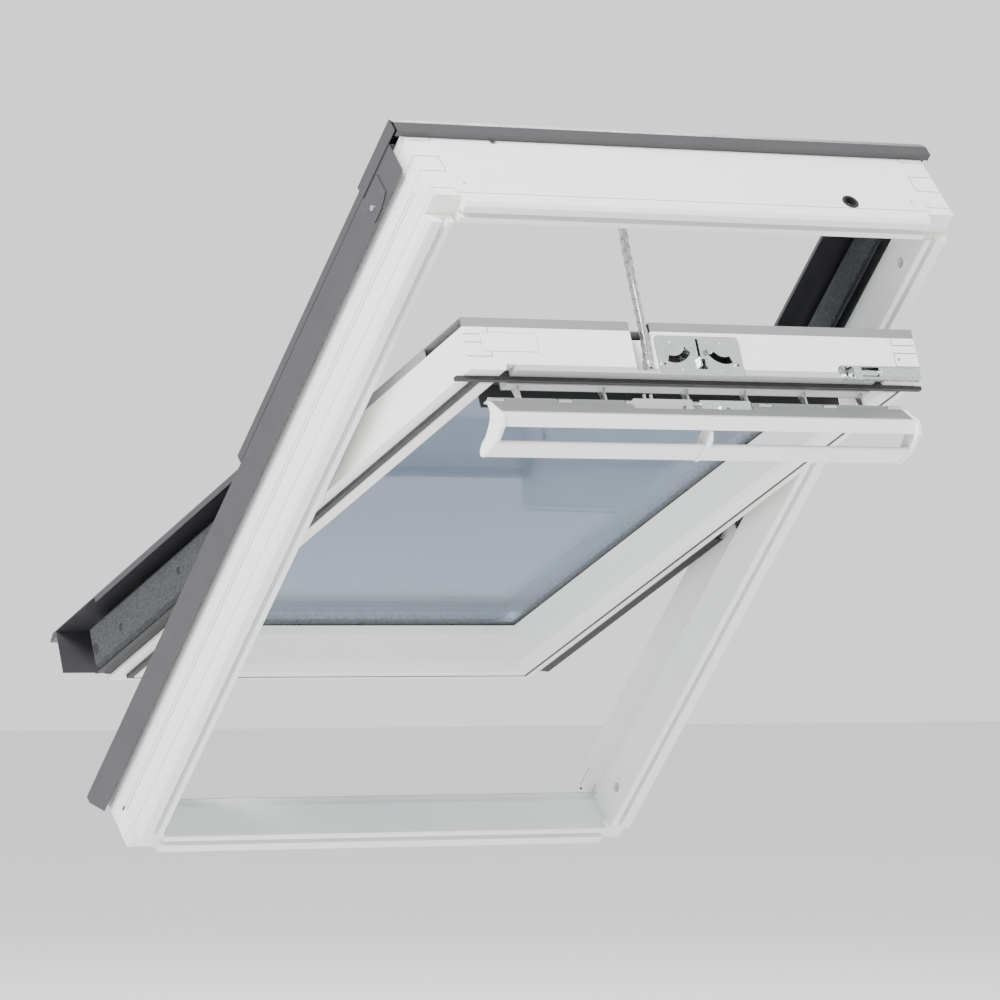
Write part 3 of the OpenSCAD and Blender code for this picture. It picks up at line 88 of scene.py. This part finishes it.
# ---------------------------------------------------------------- materials
class Paint:
    """Builds one procedural material; its vectors are in millimetres along the axes of one space."""

    def __init__(self, name, space="row"):
        self.mat = bpy.data.materials.new(name)
        self.mat.use_nodes = True
        self.nt = self.mat.node_tree
        self.bsdf = self.nt.nodes["Principled BSDF"]
        coordinates = self.nt.nodes.new("ShaderNodeTexCoord")
        mapping = self.nt.nodes.new("ShaderNodeMapping")
        loc, rot, scale = SPACE[space].inverted().decompose()
        mapping.inputs["Scale"].default_value = scale
        mapping.inputs["Rotation"].default_value = rot.to_euler()
        mapping.inputs["Location"].default_value = loc
        self.link(coordinates.outputs["Object"], mapping.inputs["Vector"])
        self.vec = mapping.outputs["Vector"]
        self.sep = None

    def link(self, a, b):
        self.nt.links.new(a, b)

    def set(self, socket, v):
        if isinstance(v, (int, float)):
            socket.default_value = v
        elif isinstance(v, (tuple, list)):
            opaque = (1.0,) if len(v) == 3 and socket.type == "RGBA" else ()
            socket.default_value = tuple(v) + opaque
        else:
            self.link(v, socket)

    def math(self, op, a, b=0.0, c=None):
        n = self.nt.nodes.new("ShaderNodeMath")
        n.operation = op
        self.set(n.inputs[0], a)
        self.set(n.inputs[1], b)
        if c is not None:
            self.set(n.inputs[2], c)
        return n.outputs[0]

    def axis(self, k):
        """The vector's part along axis k."""
        if self.sep is None:
            self.sep = self.nt.nodes.new("ShaderNodeSeparateXYZ")
            self.link(self.vec, self.sep.inputs[0])
        return self.sep.outputs[k]

    def stretch(self, s):
        """The vector with each axis scaled."""
        n = self.nt.nodes.new("ShaderNodeVectorMath")
        n.operation = "MULTIPLY"
        self.link(self.vec, n.inputs[0])
        n.inputs[1].default_value = s
        return n.outputs[0]

    def noise(self, size, detail=3.0, rough=0.55, vec=None):
        n = self.nt.nodes.new("ShaderNodeTexNoise")
        self.link(vec or self.vec, n.inputs["Vector"])
        n.inputs["Scale"].default_value = 1.0 / size
        n.inputs["Detail"].default_value = detail
        n.inputs["Roughness"].default_value = rough
        return n.outputs["Fac"]

    def cells(self, size, feature="F1", out="Distance"):
        n = self.nt.nodes.new("ShaderNodeTexVoronoi")
        n.feature = feature
        self.link(self.vec, n.inputs["Vector"])
        n.inputs["Scale"].default_value = 1.0 / size
        return n.outputs[out]

    def remap(self, v, a, b, c, d):
        """Takes a..b to c..d, clamped."""
        n = self.nt.nodes.new("ShaderNodeMapRange")
        n.clamp = True
        self.set(n.inputs["Value"], v)
        for k, x in zip(("From Min", "From Max", "To Min", "To Max"), (a, b, c, d)):
            n.inputs[k].default_value = x
        return n.outputs["Result"]

    def mix(self, fac, a, b):
        n = self.nt.nodes.new("ShaderNodeMix")
        n.data_type = "RGBA"
        self.set(n.inputs[0], fac)
        self.set(n.inputs[6], a)
        self.set(n.inputs[7], b)
        return n.outputs[2]

    def band(self, k, lo, hi, soft=0.15):
        """1 between lo and hi along axis k."""
        v = self.axis(k)
        up = self.remap(v, lo - soft, lo + soft, 0, 1)
        down = self.remap(v, hi - soft, hi + soft, 1, 0)
        return self.math("MULTIPLY", up, down)

    def both(self, *v):
        out = v[0]
        for x in v[1:]:
            out = self.math("MULTIPLY", out, x)
        return out

    def any(self, *v):
        out = v[0]
        for x in v[1:]:
            out = self.math("MAXIMUM", out, x)
        return out

    def tone(self, color, amount, size, vec=None):
        """The colour, lighter and darker in soft patches."""
        f = self.remap(self.noise(size, 4.0, 0.6, vec), 0.3, 0.7, 1 - amount, 1 + amount)
        n = self.nt.nodes.new("ShaderNodeVectorMath")
        n.operation = "SCALE"
        n.inputs[0].default_value = color[:3]
        self.link(f, n.inputs["Scale"])
        return n.outputs[0]

    def bump(self, height, dist, strength=1.0, prev=None):
        n = self.nt.nodes.new("ShaderNodeBump")
        n.inputs["Distance"].default_value = dist
        n.inputs["Strength"].default_value = strength
        self.link(height, n.inputs["Height"])
        if prev is not None:
            self.link(prev, n.inputs["Normal"])
        return n.outputs["Normal"]

    def done(self, color, rough, normal=None, metal=0.0, spec=0.5):
        b = self.bsdf
        self.set(b.inputs["Base Color"], color)
        self.set(b.inputs["Roughness"], rough)
        self.set(b.inputs["Metallic"], metal)
        b.inputs["Specular IOR Level"].default_value = spec
        if normal is not None:
            self.link(normal, b.inputs["Normal"])
        return self.mat


def timber(name, space, along, lines):
    """White paint over a grain that runs along one axis; lines(p, colour) adds the drawn joints."""
    p = Paint(name, space)
    s = [1.0, 1.0, 1.0]
    s[along] = 0.03
    grain = p.noise(3.2, 4.0, 0.6, p.stretch(tuple(s)))
    peel = p.noise(1.6, 2.0, 0.5)
    col = p.tone((0.83, 0.835, 0.81), 0.018, 60.0)
    col = p.mix(p.remap(grain, 0.35, 0.65, 0.05, 0.0), col, (0.62, 0.61, 0.57))
    col = lines(p, col)
    n = p.bump(grain, 0.0004, 0.35)
    n = p.bump(peel, 0.00012, 0.35, n)
    rough = p.remap(peel, 0.3, 0.7, 0.30, 0.42)
    return p.done(col, rough, n, spec=0.45)


# ---------------------------------------------------------------- lines drawn on the timber
LINE, LINE_STRENGTH = (0.03, 0.03, 0.03), 0.95
SEAM_HALF, END_HALF = 0.55, 0.5                   # half the width of a seam and of a finger's end line
LINE_SOFT, ZONE_SOFT = 0.15, 0.05
STRIPE_STRENGTH = 0.8
SKIN, OUTSIDE = 0.4, 1.0                          # how far a zone on a face reaches under it and past it


def low_face(at):
    """The range along an axis that holds a face turned towards its low end."""
    return at - OUTSIDE, at + SKIN


def high_face(at):
    """The range along an axis that holds a face turned towards its high end."""
    return at - SKIN, at + OUTSIDE


def draw(p, col, line, zone):
    return p.mix(p.math("MULTIPLY", p.math("MULTIPLY", line, zone), LINE_STRENGTH), col, LINE)


def seams(p, col, depths, k, ranges, other=None):
    """Thin dark joint lines at the given depths, inside ranges along axis k and along the other axis."""
    zone = p.any(*[p.band(k, a, b, ZONE_SOFT) for a, b in ranges])
    if other is not None:
        zone = p.math("MULTIPLY", zone, p.any(*[p.band(other[0], a, b, ZONE_SOFT) for a, b in other[1]]))
    line = p.any(*[p.band(2, d - SEAM_HALF, d + SEAM_HALF, LINE_SOFT) for d in depths])
    return draw(p, col, line, zone)


def end_line(p, col, k, at, depths, face=None):
    """Line where fingers end: at one place along axis k, inside the depths, on a face across y if given."""
    line = p.band(k, at - END_HALF, at + END_HALF, LINE_SOFT)
    zone = p.any(*[p.band(2, a, b, ZONE_SOFT) for a, b in depths])
    if face is not None:
        zone = p.math("MULTIPLY", zone, p.band(1, *face, ZONE_SOFT))
    return draw(p, col, line, zone)


def stripe(p, col, zone, low, high, color):
    """Thin coloured line between two depths."""
    line = p.both(zone, p.band(2, low, high, LINE_SOFT))
    return p.mix(p.math("MULTIPLY", line, STRIPE_STRENGTH), col, color)


def jamb_lines(p, col):
    top = (FRAME_L - HEAD_W, FRAME_L + OUTSIDE)
    col = seams(p, col, FINGER_Z, 1, (top, (-OUTSIDE, SILL_W)))
    col = seams(p, col, (FRAME_BACK,), 1, (top,))
    col = end_line(p, col, 1, FRAME_L - HEAD_W, (FINGER_Z[0:2], FINGER_Z[2:4]))
    side = p.any(p.band(0, *low_face(0), 0.1), p.band(0, *high_face(FRAME_W), 0.1))
    col = stripe(p, col, side, -51.6, -50.0, (0.45, 0.05, 0.06))
    col = stripe(p, col, side, -57.8, -56.6, (0.08, 0.08, 0.08))
    upper = p.both(side, p.band(1, FRAME_L - 52, FRAME_L + 2, 0.2))
    return stripe(p, col, upper, -85.6, -84.4, (0.06, 0.08, 0.5))


def head_lines(p, col):
    face = high_face(FRAME_L)
    corners = ((-OUTSIDE, JAMB_W), (FRAME_W - JAMB_W, FRAME_W + OUTSIDE))
    col = seams(p, col, FINGER_Z, 0, corners, (1, (face,)))
    fingers = ((FRAME_BACK, FINGER_Z[0]), FINGER_Z[1:3], (FINGER_Z[3], FRAME_GROOVE))
    col = end_line(p, col, 0, JAMB_W, fingers, face)
    return end_line(p, col, 0, FRAME_W - JAMB_W, fingers, face)


def sash_lines(p, col):
    left, right = SASH_X + SASH_FINGER_L, FRAME_W - SASH_X - SASH_FINGER_L
    face = high_face(SASH_Y1)
    corners = ((SASH_X, left), (right, FRAME_W - SASH_X))
    col = seams(p, col, SASH_FINGER_Z, 0, corners, (1, (face, low_face(SASH_Y0))))
    fingers = ((SASH_BACK, SASH_FINGER_Z[0]), SASH_FINGER_Z[1:3])
    col = end_line(p, col, 0, left, fingers, face)
    col = end_line(p, col, 0, right, fingers, face)
    # painted shade: the pocket behind the lock case is coloured near black, as if it lay in the dark
    pocket_painted_shade = p.both(p.band(0, 339, 443, 0.1), p.band(1, 1080, 1101.8, 0.05), p.band(2, -109, -66.5, 0.1))
    return p.mix(p.math("MULTIPLY", pocket_painted_shade, 0.96), col, (0.012, 0.012, 0.012))


# ---------------------------------------------------------------- metal, rubber, plastic and glass
def cover_paint(name, space, color, rough=0.38):
    """Painted sheet metal with faint scuffs."""
    p = Paint(name, space)
    peel = p.noise(0.9, 2.0, 0.5)
    col = p.tone(color, 0.07, 90.0)
    scuff = p.remap(p.noise(7.0, 6.0, 0.75, p.stretch((1.0, 0.12, 1.0))), 0.62, 0.75, 0.0, 0.10)
    col = p.mix(scuff, col, (0.35, 0.35, 0.36))
    n = p.bump(peel, 0.00008, 0.5)
    return p.done(col, p.remap(p.noise(30.0), 0.3, 0.7, rough - 0.05, rough + 0.07), n)


def zinc(name, space="row", color=(0.66, 0.69, 0.69), rough=0.3):
    """Bare metal: each spangle has its own brightness and roughness."""
    p = Paint(name, space)
    spangle = p.cells(2.6, out="Color")
    sep = p.nt.nodes.new("ShaderNodeSeparateColor")
    p.link(spangle, sep.inputs[0])
    v = p.remap(sep.outputs[0], 0, 1, 0.90, 1.06)
    n = p.nt.nodes.new("ShaderNodeVectorMath")
    n.operation = "SCALE"
    n.inputs[0].default_value = color
    p.link(v, n.inputs["Scale"])
    brushed = p.noise(0.5, 3.0, 0.6, p.stretch((0.15, 1.0, 1.0)))
    nb = p.bump(brushed, 0.00006, 0.5)
    return p.done(n.outputs[0], p.remap(sep.outputs[1], 0, 1, rough - 0.06, rough + 0.08), nb, metal=1.0)


def rubber(name, color=(0.012, 0.012, 0.013)):
    p = Paint(name)
    f = p.noise(0.7, 3.0, 0.6)
    n = p.bump(f, 0.00015, 0.5)
    return p.done(p.tone(color, 0.25, 25.0), p.remap(f, 0.3, 0.7, 0.45, 0.65), n, spec=0.4)


def eps_foam(name):
    """Grey moulded foam: packed beads with darker seams between them."""
    p = Paint(name)
    d = p.cells(3.6, "DISTANCE_TO_EDGE")
    edge = p.remap(d, 0.0, 0.16, 0.0, 1.0)
    c = p.cells(3.6, out="Color")
    sep = p.nt.nodes.new("ShaderNodeSeparateColor")
    p.link(c, sep.inputs[0])
    bead = p.mix(sep.outputs[0], (0.034, 0.036, 0.040), (0.066, 0.069, 0.075))
    col = p.mix(edge, (0.028, 0.029, 0.032), bead)
    n = p.bump(edge, 0.0006, 0.6)
    n = p.bump(p.noise(0.6, 2.0), 0.0002, 0.5, n)
    return p.done(col, 0.72, n, spec=0.3)


def plastic(name, color, rough=0.4, space="row"):
    p = Paint(name, space)
    f = p.noise(0.8, 2.0, 0.5)
    n = p.bump(f, 0.00006, 0.5)
    return p.done(p.tone(color, 0.02, 30.0), p.remap(f, 0.3, 0.7, rough - 0.05, rough + 0.06), n)


def glass(name, tint, shine):
    """A pane without thickness in its look: tinted see-through, with reflections that grow at a slant."""
    p = Paint(name)
    nt = p.nt
    nt.nodes.remove(p.bsdf)
    out = nt.nodes["Material Output"]
    clear = nt.nodes.new("ShaderNodeBsdfTransparent")
    gloss = nt.nodes.new("ShaderNodeBsdfGlossy")
    mixed = nt.nodes.new("ShaderNodeMixShader")
    slant = nt.nodes.new("ShaderNodeLayerWeight")
    smear = p.remap(p.noise(120.0, 4.0, 0.6), 0.35, 0.75, 0.0, 1.0)
    p.set(clear.inputs["Color"], p.mix(smear, tint, tuple(c * 0.985 for c in tint)))
    gloss.inputs["Color"].default_value = (0.9, 0.93, 0.97, 1)
    gloss.inputs["Roughness"].default_value = 0.03
    slant.inputs["Blend"].default_value = 0.25
    p.link(p.math("MULTIPLY_ADD", slant.outputs["Fresnel"], 0.55, shine), mixed.inputs[0])
    p.link(clear.outputs[0], mixed.inputs[1])
    p.link(gloss.outputs[0], mixed.inputs[2])
    p.link(mixed.outputs[0], out.inputs["Surface"])
    return p.mat


def flap_finish(name):
    """White band below a dark grey plate with a lighter lower edge."""
    p = Paint(name, "flap")
    f = p.noise(0.8, 2.0, 0.5)
    plate_low, plate_high, edge_high = -20.0, 24.0, 27.0
    plate = p.band(2, plate_low, plate_high, 0.3)
    edge = p.band(2, plate_high, edge_high, 0.3)
    col = p.mix(plate, p.tone((0.80, 0.805, 0.79), 0.02, 30.0), (0.15, 0.153, 0.157))
    col = p.mix(edge, col, (0.42, 0.425, 0.42))
    return p.done(col, p.remap(f, 0.3, 0.7, 0.24, 0.34), p.bump(f, 0.00006, 0.5))


def label(name):
    """Bare white plate with a thin grey outline."""
    p = Paint(name, "sash")
    x0, z0, width, height, rim = SASH_X + 23.0, -109.0, 82.0, 26.0, 0.55
    across = p.band(0, x0 + rim, x0 + width - rim, 0.1)
    inner = p.both(across, p.band(2, z0 + rim, z0 + height - rim, 0.1))
    col = p.mix(inner, (0.30, 0.31, 0.32), p.tone((0.84, 0.845, 0.84), 0.01, 20.0))
    f = p.noise(0.5, 2.0, 0.5)
    return p.done(col, p.remap(f, 0.3, 0.7, 0.22, 0.3), p.bump(f, 0.00003, 0.4))


T_JAMB = timber("paint_jamb", "roof", 1, jamb_lines)
T_HEAD = timber("paint_head", "roof", 0, head_lines)
T_STILE = timber("paint_stile", "sash", 1, sash_lines)
T_RAIL = timber("paint_rail", "sash", 0, sash_lines)
COVER = cover_paint("cover_paint", "roof", (0.040, 0.039, 0.044))
COVER_S = cover_paint("cover_paint_sash", "sash", (0.034, 0.033, 0.038))
CLAD = cover_paint("cladding_paint", "sash", (0.20, 0.203, 0.207), 0.3)
ZINC = zinc("zinc")
ZINC_L = zinc("zinc_lock", "sash", (0.70, 0.735, 0.73), 0.27)
CHAIN = zinc("zinc_chain", "roof", (0.60, 0.61, 0.60), 0.36)
RIVET = zinc("rivet_steel", "roof", (0.34, 0.35, 0.35), 0.3)
RUBBER = rubber("rubber")
GASKET = rubber("rubber_gasket", (0.03, 0.03, 0.032))
FOAM = eps_foam("foam")
WHITE_P = plastic("white_plastic", (0.82, 0.825, 0.81), 0.3)
GREY_P = plastic("grey_plastic", (0.24, 0.245, 0.25), 0.4)
LIGHT_P = plastic("light_grey_plastic", (0.33, 0.335, 0.34), 0.35)
STRIP_P = plastic("strip_plastic", (0.42, 0.43, 0.42), 0.35, "sash")
RECESS = plastic("recess_plastic", (0.05, 0.052, 0.055), 0.5, "sash")
LABEL = label("label_white")
FLAP_M = flap_finish("flap_paint")
BAR_M = plastic("bar_paint", (0.80, 0.805, 0.79), 0.28, "flap")
ALU = zinc("satin_aluminium", "sash", (0.72, 0.73, 0.74), 0.32)
PANE_IN = glass("glass_inner", (0.70, 0.745, 0.81), 0.07)
PANE_OUT = glass("glass_outer", (0.72, 0.765, 0.83), 0.03)

LOOKS = {
    "frame_head": T_HEAD, "frame_sill": T_HEAD, "frame_jamb_left": T_JAMB, "frame_jamb_right": T_JAMB,
    "head_cover": COVER, "hood_left": COVER, "hood_right": COVER, "side_strip_left": COVER,
    "side_strip_right": COVER, "cover_clips": COVER, "cover_screws": ZINC, "sill_cover": COVER,
    "frame_insulation": FOAM, "frame_gaskets": RUBBER, "bolt_bushes": WHITE_P, "frame_hinge_plates": ZINC,
    "pivot_pins": ZINC, "chain_actuator": GREY_P, "cable_grommet": RUBBER, "chain": CHAIN,
    "chain_end_fitting": ZINC, "sash_top_rail": T_RAIL, "sash_bottom_rail": T_RAIL,
    "sash_stile_left": T_STILE, "sash_stile_right": T_STILE, "inner_pane": PANE_IN, "outer_pane": PANE_OUT,
    "glass_spacer": ALU, "glazing_seal": RUBBER, "top_cladding": CLAD, "side_cladding": CLAD,
    "sash_cover_left": COVER_S, "sash_cover_right": COVER_S, "sash_bottom_cover": COVER_S,
    "sash_insulation": FOAM, "insulation_screws": RUBBER, "sash_gasket": GASKET, "sash_fins": RUBBER,
    "sash_hinge_plates": ZINC, "vent_channel": RECESS, "vent_strips": STRIP_P, "vent_filter": FOAM,
    "hinge_rail": ALU, "flap_hinge_rod": ZINC, "chain_bracket": LIGHT_P, "striker_bracket": ZINC_L,
    "lock_case": ZINC_L, "lock_latch": ZINC_L, "lock_screws": ZINC_L, "label_plate": LABEL,
    "bolt_track": ZINC_L, "bolt_stop_plate": ZINC_L, "barrel_bolt": ZINC_L, "lock_hook_left": ZINC,
    "lock_hook_right": ZINC, "flap_profile": FLAP_M, "grip_bar": BAR_M, "flap_end_cap_left": WHITE_P,
    "flap_end_cap_right": WHITE_P, "flap_mid_support": WHITE_P,
}
for name, node in NODES.items():
    node.data.materials.clear()
    node.data.materials.append(LOOKS[name])


# ---------------------------------------------------------------- detail pieces
def piece(name, verts, faces, mat, body, slot):
    """One closed piece, its points given in metres in the row's frame."""
    me = bpy.data.meshes.new(name)
    me.from_pydata([tuple(v) for v in verts], [], faces)
    bm = bmesh.new()
    bm.from_mesh(me)
    bmesh.ops.recalc_face_normals(bm, faces=bm.faces)
    bm.to_mesh(me)
    bm.free()
    me.materials.append(mat)
    o = bpy.data.objects.new(name, me)
    bpy.context.scene.collection.objects.link(o)
    if body is not None:
        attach(o, body)
    return o


def prism(outlines, place):
    """Solids between two copies of each outline; place(point, end) gives a point in metres."""
    verts, faces = [], []
    for pts in outlines:
        n, k = len(pts), len(verts)
        verts += [place(q, 0) for q in pts] + [place(q, 1) for q in pts]
        faces += [tuple(k + i for i in range(n)), tuple(k + n + i for i in reversed(range(n)))]
        faces += [(k + i, k + (i + 1) % n, k + n + (i + 1) % n, k + n + i) for i in range(n)]
    return verts, faces


def round_at(cx, cy, r, n):
    """A regular outline of n points; the first one lies along +x."""
    turns = [2 * math.pi * i / n for i in range(n)]
    return [(cx + r * math.cos(q), cy + r * math.sin(q)) for q in turns]


def slab(name, outlines, axis, low, high, space, mat, body, slot):
    """Outlines in the two axes other than the given one, thick from low to high along it."""
    def place(q, end):
        v = list(q)
        v.insert(axis, high if end else low)
        return SPACE[space] @ Vector(v)
    return piece(name, *prism(outlines, place), mat, body, slot)


# ---------------------------------------------------------------- chain
CHAIN_X, CHAIN_HALF = 318.0, 2.0                  # the chain's middle and half its thickness
LINKS = 17
LINK_R, LINK_ARC = 3.6, 8                         # a plate's end radius and the steps in its half turn
RIVET_R, RIVET_SIDES = 1.9, 14
OUTER_PROUD, INNER_PROUD, RIVET_PROUD = 0.75, 0.4, 1.3


def turned(y, z, a):
    """A point of the closed sash, turned open about the pivot by a degrees."""
    c, s = math.cos(math.radians(a)), math.sin(math.radians(a))
    dy, dz = y - PIVOT_Y, z - PIVOT_Z
    return Vector((PIVOT_Y + dy * c - dz * s, PIVOT_Z + dy * s + dz * c))


# the curve that the chain's solid follows, in the roof's y and z
CURVE_0 = Vector((1153.0, -93.0))
CURVE_3 = turned(1094.0, -75.0, OPEN)
CURVE_1 = CURVE_0 + Vector((-58.0, 27.0))
CURVE_2 = CURVE_3 + Vector((40.0, -55.0))


def on_chain(t):
    u = 1 - t
    return CURVE_0 * u ** 3 + CURVE_1 * 3 * t * u * u + CURVE_2 * 3 * t * t * u + CURVE_3 * t ** 3


def link_plate(a, b):
    """Outline of a plate with round ends about its two rivets."""
    way = math.atan2(b.y - a.y, b.x - a.x)
    outline = []
    for end, start in ((b, way - math.pi / 2), (a, way + math.pi / 2)):
        for k in range(LINK_ARC + 1):
            q = start + math.pi * k / LINK_ARC
            outline.append((end.x + LINK_R * math.cos(q), end.y + LINK_R * math.sin(q)))
    return outline


MOUTH, PIN = ROOF @ Vector((CHAIN_X, *CURVE_0)), ROOF @ Vector((CHAIN_X, *CURVE_3))


def between(o):
    """Bakes the piece's placement into its mesh; nothing ties it to the drive's mouth or the chain's
    fitting.
    """
    tuple(MOUTH)
    tuple(PIN)
    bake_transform(o)


def chain_slab(name, outlines, side, proud, mat):
    """Raised pieces on one side of the chain."""
    face = CHAIN_X + side * CHAIN_HALF
    between(slab(name, outlines, 0, face, face + side * proud, "roof", mat, None, "zinc_steel"))


solid = bpy.data.objects.new("chain_body", NODES["chain"].data.copy())
bpy.context.scene.collection.objects.link(solid)
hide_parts("chain")
between(solid)
joints = [on_chain(i / LINKS) for i in range(LINKS + 1)]
plates = [link_plate(a, b) for a, b in zip(joints, joints[1:])]
rivets = [round_at(j.x, j.y, RIVET_R, RIVET_SIDES) for j in joints[1:-1]]
for tag, side in (("left", -1), ("right", 1)):
    chain_slab("chain_plates_outer_" + tag, plates[0::2], side, OUTER_PROUD, CHAIN)
    chain_slab("chain_plates_inner_" + tag, plates[1::2], side, INNER_PROUD, CHAIN)
    chain_slab("chain_rivets_" + tag, rivets, side, RIVET_PROUD, RIVET)

# ---------------------------------------------------------------- painted shade: thin black hexagons on the lock's screws stand in for the dark inside their sockets
SOCKET_R, SOCKET_Z = 1.9, -70.0
SOCKET_LOW, SOCKET_HIGH = 1106.35, 1106.5         # from just under the screw's face to just past it
for tag, x in (("left", 336.0), ("right", 446.0)):
    hexagon = round_at(x, SOCKET_Z, SOCKET_R, 6)
    # a black sheet painted as the shade inside each socket
    slab("painted_socket_shade_" + tag, [hexagon], 1, SOCKET_LOW, SOCKET_HIGH, "sash", RUBBER, "sash",
         "black_rubber")

# ---------------------------------------------------------------- floor and light
FLOOR_HALF, FLOOR_Z = 30.0, -0.45
WORLD_POWER = 1.3
paint = Paint("floor")
floor_mesh = bpy.data.meshes.new("floor")
corners = [(x * FLOOR_HALF, y * FLOOR_HALF) for x, y in ((-1, -1), (1, -1), (1, 1), (-1, 1))]
floor_mesh.from_pydata([(x, y, FLOOR_Z) for x, y in corners], [], [(0, 1, 2, 3)])
floor_mesh.materials.append(paint.done(paint.tone((0.82, 0.82, 0.82), 0.01, 900.0), 0.9, spec=0.1))
floor = bpy.data.objects.new("floor", floor_mesh)
bpy.context.scene.collection.objects.link(floor)

world = bpy.data.worlds.new("studio")
bpy.context.scene.world = world
world.use_nodes = True
world.node_tree.nodes["Background"].inputs[0].default_value = (1.0, 1.0, 1.0, 1)
world.node_tree.nodes["Background"].inputs[1].default_value = WORLD_POWER


def softbox(name, at, look, size, power):
    """A square or oblong light at one point, turned to look at another."""
    d = bpy.data.lights.new(name, "AREA")
    d.shape = "RECTANGLE"
    d.size, d.size_y = size
    d.energy = power
    o = bpy.data.objects.new(name, d)
    bpy.context.scene.collection.objects.link(o)
    o.location = at
    o.rotation_euler = (Vector(look) - Vector(at)).to_track_quat("-Z", "Y").to_euler()


softbox("key", (-3.2, -2.8, 4.0), (0, -0.4, 0.4), (1.8, 1.8), 640)
softbox("rim", (1.6, 2.6, 3.6), (0, -0.4, 0.5), (2.0, 2.0), 120)
